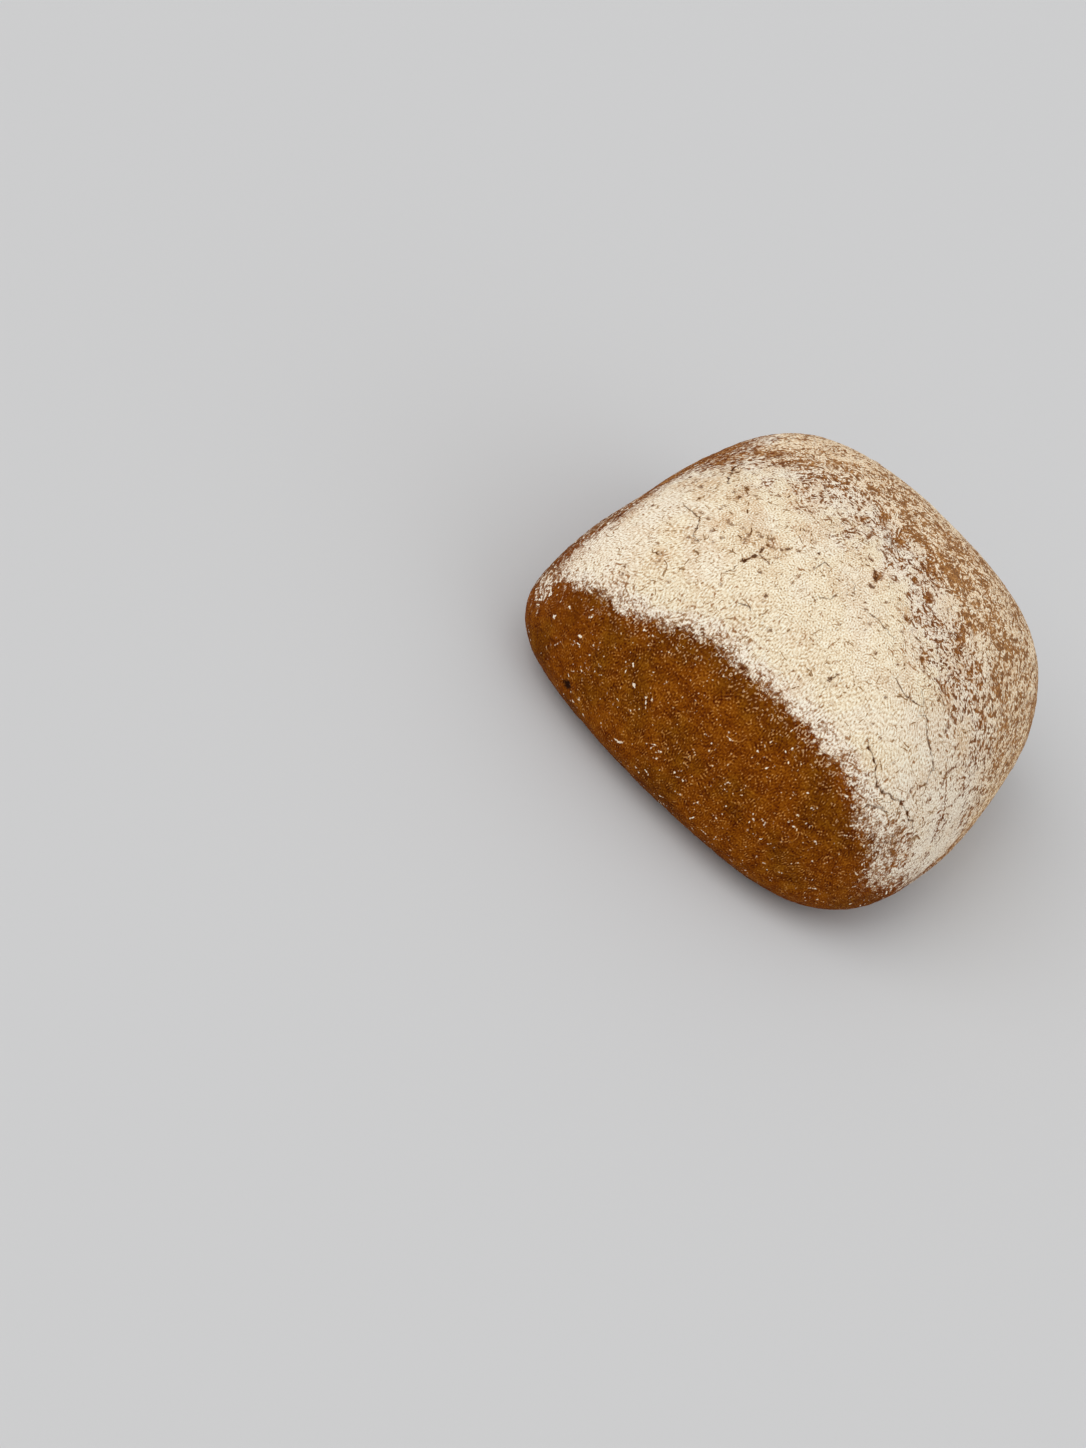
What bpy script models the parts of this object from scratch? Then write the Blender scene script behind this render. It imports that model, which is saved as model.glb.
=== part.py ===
"""Rye bread roll: a squarish whole roll with a flat base, steep sides and a low dome.

Units are metres, +Z is up, and the origin is on the flat base, under the middle
of the roll. The form is one smooth skin: a cube cage is laid over the roll's own
shape, its lower edge loop is kept crisp as the rim of the base, and a Subdivision
Surface rounds the rest. The flour on top and the fine crust relief are surface
finish and aren't modelled here.
"""

import math

import bmesh
import bpy
import numpy as np

# Driving dimensions, in metres
HALF_LENGTH = 0.0469  # middle of the roll to its side along X
HALF_WIDTH = 0.0462  # the same along Y
HEIGHT = 0.0539  # base to the crown of the dome
BELLY_HEIGHT = 0.0098  # height at which the roll is widest
BASE_RATIO = 0.834  # width of the flat base over the greatest width

# How square the roll is, seen from above: 2 is an ellipse, higher is squarer
PLAN_POWER_LOW = 4.39
PLAN_POWER_HIGH = 3.04

# How full the side is, from the widest point up to the crown
SHOULDER_POWER = 2.33
DOME_POWER = 1.94

# What keeps it from being regular: each one is a share of the half size
TAPER_ACROSS = -0.001  # the back against the front
TAPER_ALONG = -0.012  # the left end is a little wider than the right
RISE_ALONG = -0.007  # the crown is a little higher at the left end
RISE_ACROSS = 0.032  # and higher at the back
LEAN = (0.0002, -0.0001)  # the crown stands off the middle of the base

# Waves round the plan's edge: number round the roll, cosine share, sine share
PLAN_WAVES = (
    (3, 0.0046, 0.0036),
    (4, 0.0090, -0.0024),
    (5, 0.0043, -0.0089),
    (6, 0.0011, -0.0051),
    (7, 0.0054, 0.0031),
)

# Low swells and hollows of the crust: depth, and waves per metre along x, y, z
SWELLS = (
    (0.00020, (148.0, 62.0, 96.0), 0.7),
    (0.00018, (-84.0, 131.0, 70.0), 2.1),
    (0.00012, (190.0, -120.0, 44.0), 4.0),
    (0.00010, (66.0, 205.0, -150.0), 5.2),
)

CAGE_CUTS = 10  # cuts along each edge of the cage's cube
SMOOTH_LEVELS = 1
SIDE_SHARE = 0.54  # share of the profile that the cage's upright faces cover


def profile_table(steps=240):
    """The roll's half section from the rim of the base to the crown, as reach (0 to 1), height and path length."""
    turn = np.linspace(0.0, math.pi / 2, steps)
    rise = np.sin(turn)
    low_reach = BASE_RATIO + (1 - BASE_RATIO) * (1 - (1 - rise) ** 2)
    low_height = BELLY_HEIGHT * rise
    high_reach = np.cos(turn).clip(0.0) ** (2 / SHOULDER_POWER)
    high_height = BELLY_HEIGHT + (HEIGHT - BELLY_HEIGHT) * rise ** (2 / DOME_POWER)
    reach = np.concatenate([low_reach[:-1], high_reach])
    height = np.concatenate([low_height[:-1], high_height])
    half = (HALF_LENGTH + HALF_WIDTH) / 2
    steps_m = np.hypot(np.diff(reach) * half, np.diff(height))
    path = np.concatenate([[0.0], np.cumsum(steps_m)])
    return reach, height, path / path[-1]


def plan_waves(angle):
    """The plan's gentle waves, as a share of its reach in that direction."""
    out = np.zeros(len(angle))
    for number, cosine, sine in PLAN_WAVES:
        out += cosine * np.cos(number * angle) + sine * np.sin(number * angle)
    return out


def swell(points):
    """How far the skin stands proud of the regular form, in metres."""
    out = np.zeros(len(points))
    for depth, waves, start in SWELLS:
        out += depth * np.sin(points @ np.array(waves) + start)
    return out


def roll_form(cube):
    """Maps points of the cube from -1 to 1 onto the roll's skin, in metres."""
    x, y, z = cube.T
    square = np.maximum(np.maximum(np.abs(x), np.abs(y)), 1e-9)
    under = z < -1 + 1e-6
    above = z > 1 - 1e-6
    along = np.where(above, SIDE_SHARE + (1 - SIDE_SHARE) * (1 - square), SIDE_SHARE * (z + 1) / 2)
    reach_of, height_of, path = profile_table()
    reach = np.where(under, BASE_RATIO * square, np.interp(along, path, reach_of))
    height = np.where(under, 0.0, np.interp(along, path, height_of))
    level = np.clip(height / HEIGHT, 0, 1) ** 1.5
    power = PLAN_POWER_LOW + (PLAN_POWER_HIGH - PLAN_POWER_LOW) * level
    radius = np.hypot(x, y).clip(1e-9)
    dx, dy = x / radius, y / radius
    plan = (np.abs(dx) ** power + np.abs(dy) ** power) ** (-1 / power)
    plan = plan * (1 + plan_waves(np.arctan2(dy, dx)) * (1 - level))
    px = reach * plan * dx * HALF_LENGTH
    py = reach * plan * dy * HALF_WIDTH
    qx = px * (1 + TAPER_ACROSS * py / HALF_WIDTH) + LEAN[0] * level
    qy = py * (1 + TAPER_ALONG * px / HALF_LENGTH) + LEAN[1] * level
    qz = height * (1 + RISE_ALONG * px / HALF_LENGTH + RISE_ACROSS * py / HALF_WIDTH)
    points = np.stack([qx, qy, qz], axis=1)
    # The swells act outwards from a point low in the middle, and fade out towards the base.
    outward = points - np.array([0.0, 0.0, 0.016])
    outward /= np.linalg.norm(outward, axis=1)[:, None].clip(1e-9)
    fade = np.clip(qz / 0.006, 0.0, 1.0)
    return points + outward * (swell(points) * fade)[:, None] * np.where(under, 0.0, 1.0)[:, None]


def smooth_limit(vert, crease):
    """Where the smoothed skin will pass, for one point of the cage."""
    rim = [edge.other_vert(vert).co for edge in vert.link_edges if edge[crease] > 0.5]
    if len(rim) == 2:
        return (rim[0] + vert.co * 4 + rim[1]) / 6
    count = len(vert.link_edges)
    total = vert.co * (count * count)
    for edge in vert.link_edges:
        total = total + edge.other_vert(vert).co * 4
    for face in vert.link_faces:
        loop = next(loop for loop in face.loops if loop.vert == vert)
        total = total + loop.link_loop_next.link_loop_next.vert.co
    return total / (count * (count + 5))


def build_cage():
    """A cube cage whose smoothed skin passes through the roll's form."""
    bm = bmesh.new()
    bmesh.ops.create_cube(bm, size=2.0)
    bmesh.ops.subdivide_edges(bm, edges=bm.edges[:], cuts=CAGE_CUTS, use_grid_fill=True)
    crease = bm.edges.layers.float.new("crease_edge")
    for edge in bm.edges:
        low = all(vert.co.z < -1 + 1e-6 for vert in edge.verts)
        if low and any(face.calc_center_median().z > -1 + 1e-6 for face in edge.link_faces):
            edge[crease] = 1.0
    bm.verts.ensure_lookup_table()
    cube = np.array([vert.co[:] for vert in bm.verts])
    form = roll_form(cube)
    for vert, place in zip(bm.verts, form):
        vert.co = place
    # Each point is moved until the smoothed skin goes through the form there.
    for _ in range(14):
        moves = [form[vert.index] - np.array(smooth_limit(vert, crease)) for vert in bm.verts]
        for vert, move in zip(bm.verts, moves):
            flat = form[vert.index][2] < 1e-6
            vert.co.x += move[0]
            vert.co.y += move[1]
            vert.co.z = 0.0 if flat else vert.co.z + move[2]
    bmesh.ops.recalc_face_normals(bm, faces=bm.faces[:])
    mesh = bpy.data.meshes.new("bread_roll")
    bm.to_mesh(mesh)
    bm.free()
    return mesh


def centre_on_base(obj):
    """Moves the cage so that the finished roll's box is centred over the origin and stands on z = 0."""
    bpy.context.view_layer.update()
    finished = obj.evaluated_get(bpy.context.evaluated_depsgraph_get())
    mesh = finished.to_mesh()
    flat = np.empty(len(mesh.vertices) * 3)
    mesh.vertices.foreach_get("co", flat)
    finished.to_mesh_clear()
    places = flat.reshape(-1, 3)
    low, high = places.min(axis=0), places.max(axis=0)
    shift = ((low[0] + high[0]) / 2, (low[1] + high[1]) / 2, low[2])
    for vert in obj.data.vertices:
        vert.co = [vert.co[i] - shift[i] for i in range(3)]


def crust_material():
    material = bpy.data.materials.new("rye_crust")
    material.use_nodes = True
    shader = material.node_tree.nodes["Principled BSDF"]
    shader.inputs["Base Color"].default_value = (0.26, 0.085, 0.016, 1.0)
    shader.inputs["Roughness"].default_value = 0.7
    shader.inputs["Metallic"].default_value = 0.0
    material.diffuse_color = (0.26, 0.085, 0.016, 1.0)
    return material


def main():
    for obj in list(bpy.data.objects):
        bpy.data.objects.remove(obj, do_unlink=True)
    bpy.context.scene.unit_settings.system = "METRIC"
    bpy.context.scene.unit_settings.scale_length = 1.0
    parts = bpy.data.collections.new("rye_bread_roll")
    bpy.context.scene.collection.children.link(parts)

    roll = bpy.data.objects.new("bread_roll", build_cage())
    parts.objects.link(roll)
    roll.data.materials.append(crust_material())
    smooth = roll.modifiers.new("rounded_skin", "SUBSURF")
    smooth.levels = SMOOTH_LEVELS
    smooth.render_levels = SMOOTH_LEVELS
    centre_on_base(roll)
    roll.data.shade_smooth()


main()
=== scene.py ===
"""Looks of a rye bread roll: its baked crust, the flour on it, and a studio to see it in.

Everything is in metres in the roll's own frame: the base rests on z = 0, the side
that is free of flour faces -Y. The crust is one closed skin, shaped by the same
form as the CAD solid and given real relief; loose flour lies on it as joined grains.
"""

import math

import bpy
import numpy as np
from mathutils import Matrix, Vector


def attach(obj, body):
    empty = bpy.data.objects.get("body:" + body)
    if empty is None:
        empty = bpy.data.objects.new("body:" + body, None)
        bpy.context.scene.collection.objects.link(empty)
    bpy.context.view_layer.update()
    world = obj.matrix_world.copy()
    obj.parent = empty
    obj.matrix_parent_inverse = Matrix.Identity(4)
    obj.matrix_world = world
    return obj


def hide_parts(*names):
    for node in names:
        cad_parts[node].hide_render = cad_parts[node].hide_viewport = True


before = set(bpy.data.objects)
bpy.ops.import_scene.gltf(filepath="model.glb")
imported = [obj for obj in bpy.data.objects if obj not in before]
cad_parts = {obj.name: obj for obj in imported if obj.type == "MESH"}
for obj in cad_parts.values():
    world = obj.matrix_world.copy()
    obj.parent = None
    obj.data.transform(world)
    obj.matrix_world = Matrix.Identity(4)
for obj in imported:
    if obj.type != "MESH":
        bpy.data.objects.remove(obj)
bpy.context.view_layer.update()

# ---------------------------------------------------------------- the roll's form
HALF_LENGTH = 0.0469
HALF_WIDTH = 0.0462
HEIGHT = 0.0539
BELLY_HEIGHT = 0.0098
BASE_RATIO = 0.834
PLAN_POWER_LOW = 4.39
PLAN_POWER_HIGH = 3.04
SHOULDER_POWER = 2.33
DOME_POWER = 1.94
TAPER_ACROSS = -0.001
TAPER_ALONG = -0.012
RISE_ALONG = -0.007
RISE_ACROSS = 0.032
LEAN = (0.0002, -0.0001)
MIDDLE = (0.00032, -0.00014)  # the form's own middle, which goes over the origin
PLAN_WAVES = (
    (3, 0.0046, 0.0036),
    (4, 0.0090, -0.0024),
    (5, 0.0043, -0.0089),
    (6, 0.0011, -0.0051),
    (7, 0.0054, 0.0031),
)
SWELLS = (
    (0.00020, (148.0, 62.0, 96.0), 0.7),
    (0.00018, (-84.0, 131.0, 70.0), 2.1),
    (0.00012, (190.0, -120.0, 44.0), 4.0),
    (0.00010, (66.0, 205.0, -150.0), 5.2),
)
SIDE_SHARE = 0.54

# ---------------------------------------------------------------- the crust's mesh
ACROSS = 230  # faces along each side of the roll, about 0.4 mm each
UPRIGHT = 122  # rows of faces up each side
BASE_STEP = 5  # the hidden base is this much coarser


# ================================================================ noise
def scramble(ix, iy, iz, seed):
    """A repeatable 32-bit number for each lattice point."""
    h = ix.astype(np.uint32) * np.uint32(0x8DA6B343)
    h ^= iy.astype(np.uint32) * np.uint32(0xD8163841)
    h ^= iz.astype(np.uint32) * np.uint32(0xCB1AB31F)
    h ^= np.uint32((seed * 0x9E3779B1 + 0x7F4A7C15) & 0xFFFFFFFF)
    h ^= h >> np.uint32(15)
    h *= np.uint32(0x2C1B3C6D)
    h ^= h >> np.uint32(12)
    h *= np.uint32(0x297A2D39)
    h ^= h >> np.uint32(15)
    return h


def noise(points, seed=0):
    """Smooth gradient noise, about -1 to 1, one lattice cell per unit."""
    floor = np.floor(points)
    part = points - floor
    cell = floor.astype(np.int64)
    fade = part * part * part * (part * (part * 6 - 15) + 10)
    total = np.zeros(len(points))
    for corner in range(8):
        off = np.array([corner & 1, corner >> 1 & 1, corner >> 2 & 1])
        at = cell + off
        h = scramble(at[:, 0], at[:, 1], at[:, 2], seed)
        away = part - off
        slope = (
            ((h & np.uint32(1023)).astype(np.float64) / 511.5 - 1) * away[:, 0]
            + ((h >> np.uint32(10) & np.uint32(1023)).astype(np.float64) / 511.5 - 1) * away[:, 1]
            + ((h >> np.uint32(20) & np.uint32(1023)).astype(np.float64) / 511.5 - 1) * away[:, 2]
        )
        weight = np.ones(len(points))
        for axis in range(3):
            weight *= fade[:, axis] if off[axis] else 1 - fade[:, axis]
        total += slope * weight
    return total * 1.9


def layered(points, seed, layers=3, keep=0.5, step=2.03):
    """Several sizes of noise on top of each other, about -1 to 1."""
    out, size, amount, whole = np.zeros(len(points)), 1.0, 1.0, 0.0
    for k in range(layers):
        out += amount * noise(points * size + 17.3 * k, seed + 101 * k)
        whole += amount
        size *= step
        amount *= keep
    return out / whole


def pebbles(points, seed):
    """Distance to the nearest and to the next of a scatter of points, one per unit cell, and a number for the nearest."""
    cell = np.floor(points).astype(np.int64)
    first = np.full(len(points), 9.0)
    second = np.full(len(points), 9.0)
    mark = np.zeros(len(points))
    for dx in (-1, 0, 1):
        for dy in (-1, 0, 1):
            for dz in (-1, 0, 1):
                at = cell + np.array([dx, dy, dz])
                h = scramble(at[:, 0], at[:, 1], at[:, 2], seed)
                spot = np.stack(
                    [
                        at[:, 0] + (h & np.uint32(1023)).astype(np.float64) / 1023,
                        at[:, 1] + (h >> np.uint32(10) & np.uint32(1023)).astype(np.float64) / 1023,
                        at[:, 2] + (h >> np.uint32(20) & np.uint32(1023)).astype(np.float64) / 1023,
                    ],
                    axis=1,
                )
                away = np.sqrt(((points - spot) ** 2).sum(axis=1))
                nearer = away < first
                second = np.where(nearer, first, np.minimum(second, away))
                mark = np.where(nearer, (h >> np.uint32(5) & np.uint32(4095)).astype(np.float64) / 4095, mark)
                first = np.where(nearer, away, first)
    return first, second, mark


def ramp(low, high, value):
    """0 below low, 1 above high, smooth between."""
    t = np.clip((value - low) / (high - low), 0, 1)
    return t * t * (3 - 2 * t)


# ================================================================ form and mesh
def profile_table(steps=240):
    turn = np.linspace(0.0, math.pi / 2, steps)
    rise = np.sin(turn)
    low_reach = BASE_RATIO + (1 - BASE_RATIO) * (1 - (1 - rise) ** 2)
    low_height = BELLY_HEIGHT * rise
    high_reach = np.cos(turn).clip(0.0) ** (2 / SHOULDER_POWER)
    high_height = BELLY_HEIGHT + (HEIGHT - BELLY_HEIGHT) * rise ** (2 / DOME_POWER)
    reach = np.concatenate([low_reach[:-1], high_reach])
    height = np.concatenate([low_height[:-1], high_height])
    half = (HALF_LENGTH + HALF_WIDTH) / 2
    steps_m = np.hypot(np.diff(reach) * half, np.diff(height))
    path = np.concatenate([[0.0], np.cumsum(steps_m)])
    return reach, height, path / path[-1], path[-1]


def roll_form(cube):
    """Maps points of the cube from -1 to 1 onto the roll's skin. Gives places in metres, the angle round the roll in degrees, and the way up the skin from the base's rim in mm."""
    x, y, z = cube.T
    square = np.maximum(np.maximum(np.abs(x), np.abs(y)), 1e-9)
    under = z < -1 + 1e-6
    above = z > 1 - 1e-6
    along = np.where(above, SIDE_SHARE + (1 - SIDE_SHARE) * (1 - square), SIDE_SHARE * (z + 1) / 2)
    reach_of, height_of, path, length = profile_table()
    reach = np.where(under, BASE_RATIO * square, np.interp(along, path, reach_of))
    height = np.where(under, 0.0, np.interp(along, path, height_of))
    level = np.clip(height / HEIGHT, 0, 1) ** 1.5
    power = PLAN_POWER_LOW + (PLAN_POWER_HIGH - PLAN_POWER_LOW) * level
    x = np.where(np.hypot(x, y) < 1e-7, 1e-7, x)
    radius = np.hypot(x, y)
    dx, dy = x / radius, y / radius
    angle = np.arctan2(dy, dx)
    waves = sum(c * np.cos(k * angle) + s * np.sin(k * angle) for k, c, s in PLAN_WAVES)
    plan = (np.abs(dx) ** power + np.abs(dy) ** power) ** (-1 / power)
    plan = plan * (1 + waves * (1 - level))
    px = reach * plan * dx * HALF_LENGTH
    py = reach * plan * dy * HALF_WIDTH
    qx = px * (1 + TAPER_ACROSS * py / HALF_WIDTH) + LEAN[0] * level
    qy = py * (1 + TAPER_ALONG * px / HALF_LENGTH) + LEAN[1] * level
    qz = height * (1 + RISE_ALONG * px / HALF_LENGTH + RISE_ACROSS * py / HALF_WIDTH)
    points = np.stack([qx, qy, qz], axis=1)
    outward = points - np.array([0.0, 0.0, 0.016])
    outward /= np.linalg.norm(outward, axis=1)[:, None].clip(1e-9)
    swell = sum(d * np.sin(points @ np.array(w) + start) for d, w, start in SWELLS)
    swell = swell * np.clip(qz / 0.006, 0.0, 1.0) * np.where(under, 0.0, 1.0)
    points = points + outward * swell[:, None]
    points[:, :2] -= np.array(MIDDLE)
    way = np.where(under, (square - 1) * 38.0, along * length * 1000)
    return points, np.degrees(angle) % 360, way


def skin_grid():
    """The cube that the skin is drawn from: its points, its faces, and each face corner's place on the flat layout of the skin."""
    n, rows, step = ACROSS, UPRIGHT, BASE_STEP
    m = 4 * n
    u = np.linspace(-1, 1, n + 1)
    walk = np.concatenate(
        [
            np.stack([u[:-1], np.full(n, -1.0)], 1),
            np.stack([np.full(n, 1.0), u[:-1]], 1),
            np.stack([-u[:-1], np.full(n, 1.0)], 1),
            np.stack([np.full(n, -1.0), -u[:-1]], 1),
        ]
    )
    points, faces, flat = [], [], []
    for r in range(rows + 1):
        z = -1 + 2 * r / rows
        points.append(np.column_stack([walk, np.full(m, z)]))
    points = np.concatenate(points)

    # The layout, in mm: two pairs of sides in rows, then the top and the base side by side.
    wide, tall = 93.0, SIDE_SHARE * 88.6
    place = {0: (1.0, 1.0), 1: (1.0 + wide, 1.0), 2: (1.0, tall + 4.0), 3: (1.0 + wide, tall + 4.0)}
    whole = 2 * wide + 3.0
    rr, mm = np.meshgrid(np.arange(rows), np.arange(m), indexing="ij")
    rr, mm = rr.ravel(), mm.ravel()
    nxt = (mm + 1) % m
    faces.append(np.stack([rr * m + mm, rr * m + nxt, (rr + 1) * m + nxt, (rr + 1) * m + mm], 1))
    side = mm // n
    ox = np.array([place[k][0] for k in range(4)])[side]
    oy = np.array([place[k][1] for k in range(4)])[side]
    fx = (mm % n) / n * wide
    dx, dy = wide / n, tall / rows
    corners = [(ox + fx, oy + rr * dy), (ox + fx + dx, oy + rr * dy), (ox + fx + dx, oy + (rr + 1) * dy), (ox + fx, oy + (rr + 1) * dy)]
    flat.append(np.stack([np.stack(c, 1) for c in corners], 1))

    def sheet(size, first, rim, z, shrink):
        """A square of size x size faces whose edge is the given ring of points."""
        nonlocal points
        index = np.full((size + 1, size + 1), -1)
        k = np.arange(size)
        index[0, :-1] = rim[0:size]
        index[:-1, size] = rim[size : 2 * size]
        index[size, :0:-1] = rim[2 * size : 3 * size]
        index[:0:-1, 0] = rim[3 * size : 4 * size]
        v = np.linspace(-1, 1, size + 1) * shrink
        jj, ii = np.meshgrid(np.arange(1, size), np.arange(1, size), indexing="ij")
        index[1:-1, 1:-1] = first + np.arange((size - 1) ** 2).reshape(size - 1, size - 1)
        new = np.stack([v[ii].ravel(), v[jj].ravel(), np.full(ii.size, z)], 1)
        points = np.concatenate([points, new])
        j, i = np.meshgrid(np.arange(size), np.arange(size), indexing="ij")
        j, i = j.ravel(), i.ravel()
        quads = np.stack([index[j, i], index[j, i + 1], index[j + 1, i + 1], index[j + 1, i]], 1)
        spots = np.stack([np.stack([i + a, j + b], 1) for a, b in ((0, 0), (1, 0), (1, 1), (0, 1))], 1) / size
        return quads, spots

    over = 2 * tall + 7.0
    quads, spots = sheet(n, len(points), np.arange(rows * m, rows * m + m), 1.0, 1.0)
    faces.append(quads)
    flat.append(spots * 92.0 + np.array([1.0, over]))

    # The base: a ring that steps down to a coarser square.
    c = n // step
    ring_first = len(points)
    inner = walk[::step] * 0.97
    points = np.concatenate([points, np.column_stack([inner, np.full(4 * c, -1.0)])])
    triangles, tri_flat = [], []
    base_at, base_size = np.array([96.0, over]), 91.0

    def on_base(xy):
        return (xy * np.array([1, -1]) + 1) / 2 * base_size + base_at

    for j in range(4 * c):
        a, b = ring_first + j, ring_first + (j + 1) % (4 * c)
        fine = [(j * step + k) % m for k in range(step + 1)]
        pa, pb = inner[j], inner[(j + 1) % (4 * c)]
        half = step // 2
        for k in range(step):
            apex, at = (a, pa) if k <= half else (b, pb)
            triangles.append((fine[k + 1], fine[k], apex))
            tri_flat.append((on_base(walk[fine[k + 1]]), on_base(walk[fine[k]]), on_base(at)))
            if k == half:
                triangles.append((fine[k + 1], a, b))
                tri_flat.append((on_base(walk[fine[k + 1]]), on_base(pa), on_base(pb)))
    quads, spots = sheet(c, len(points), np.arange(ring_first, ring_first + 4 * c), -1.0, 0.97)
    quads, spots = quads[:, ::-1], spots[:, ::-1]
    spots = (spots * 2 - 1) * 0.97
    faces.append(quads)
    flat.append(np.stack([on_base(spots[:, k]) for k in range(4)], 1))
    return (
        points,
        np.concatenate(faces),
        np.concatenate(flat) / whole,
        np.array(triangles),
        np.array(tri_flat) / whole,
    )


def normals_of(points, quads, triangles):
    """Vertex normals, weighted by area."""
    out = np.zeros_like(points)
    for corners in (quads[:, [0, 1, 2]], quads[:, [0, 2, 3]], triangles):
        a, b, c = (points[corners[:, k]] for k in range(3))
        n = np.cross(b - a, c - a)
        for k in range(3):
            for axis in range(3):
                out[:, axis] += np.bincount(corners[:, k], n[:, axis], minlength=len(points))
    return out / np.linalg.norm(out, axis=1)[:, None].clip(1e-12)


# ================================================================ flour, cracks and relief
# Where the flour begins above the bare side: degrees round the roll, and mm up the skin from the base's rim.
LINE = (
    (130.0, -12.0),
    (137.0, 4.0),
    (144.0, 22.0),
    (151.0, 38.0),
    (157.0, 43.5),
    (163.0, 44.0),
    (170.0, 41.0),
    (180.0, 37.0),
    (190.0, 35.5),
    (200.0, 36.5),
    (208.0, 37.0),
    (213.0, 34.5),
    (217.0, 29.0),
    (221.0, 23.4),
    (225.0, 26.0),
    (228.0, 28.6),
    (232.0, 31.3),
    (236.0, 33.4),
    (240.0, 34.8),
    (244.0, 36.9),
    (248.0, 38.3),
    (252.0, 40.4),
    (256.0, 42.3),
    (262.0, 42.6),
    (268.0, 43.0),
    (274.0, 43.5),
    (280.0, 43.4),
    (286.0, 43.0),
    (292.0, 42.6),
    (297.0, 42.2),
    (300.0, 41.0),
    (304.0, 41.2),
    (308.0, 39.3),
    (312.0, 37.2),
    (315.0, 33.4),
    (319.0, 31.0),
    (322.0, 29.4),
    (324.0, 22.0),
    (328.0, 18.9),
    (334.0, 19.2),
    (340.0, 15.5),
    (350.0, 10.0),
    (365.0, 3.0),
    (380.0, -12.0),
    (490.0, -12.0),
)
DEGREE = 0.72  # mm along the skin for each degree, near the line

# The middle of the pale band along the shoulder, measured the same way. The band's paleness is partly painted sheen.
SHOULDER = (
    (130.0, 56.0),
    (150.0, 44.0),
    (165.0, 36.0),
    (318.0, 12.0),
    (340.0, 14.0),
    (360.0, 18.0),
    (370.0, 22.0),
    (380.0, 25.5),
    (390.0, 30.0),
    (400.0, 38.0),
    (410.0, 50.0),
    (420.0, 58.0),
    (430.0, 61.0),
    (480.0, 61.0),
    (490.0, 57.0),
)

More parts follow.
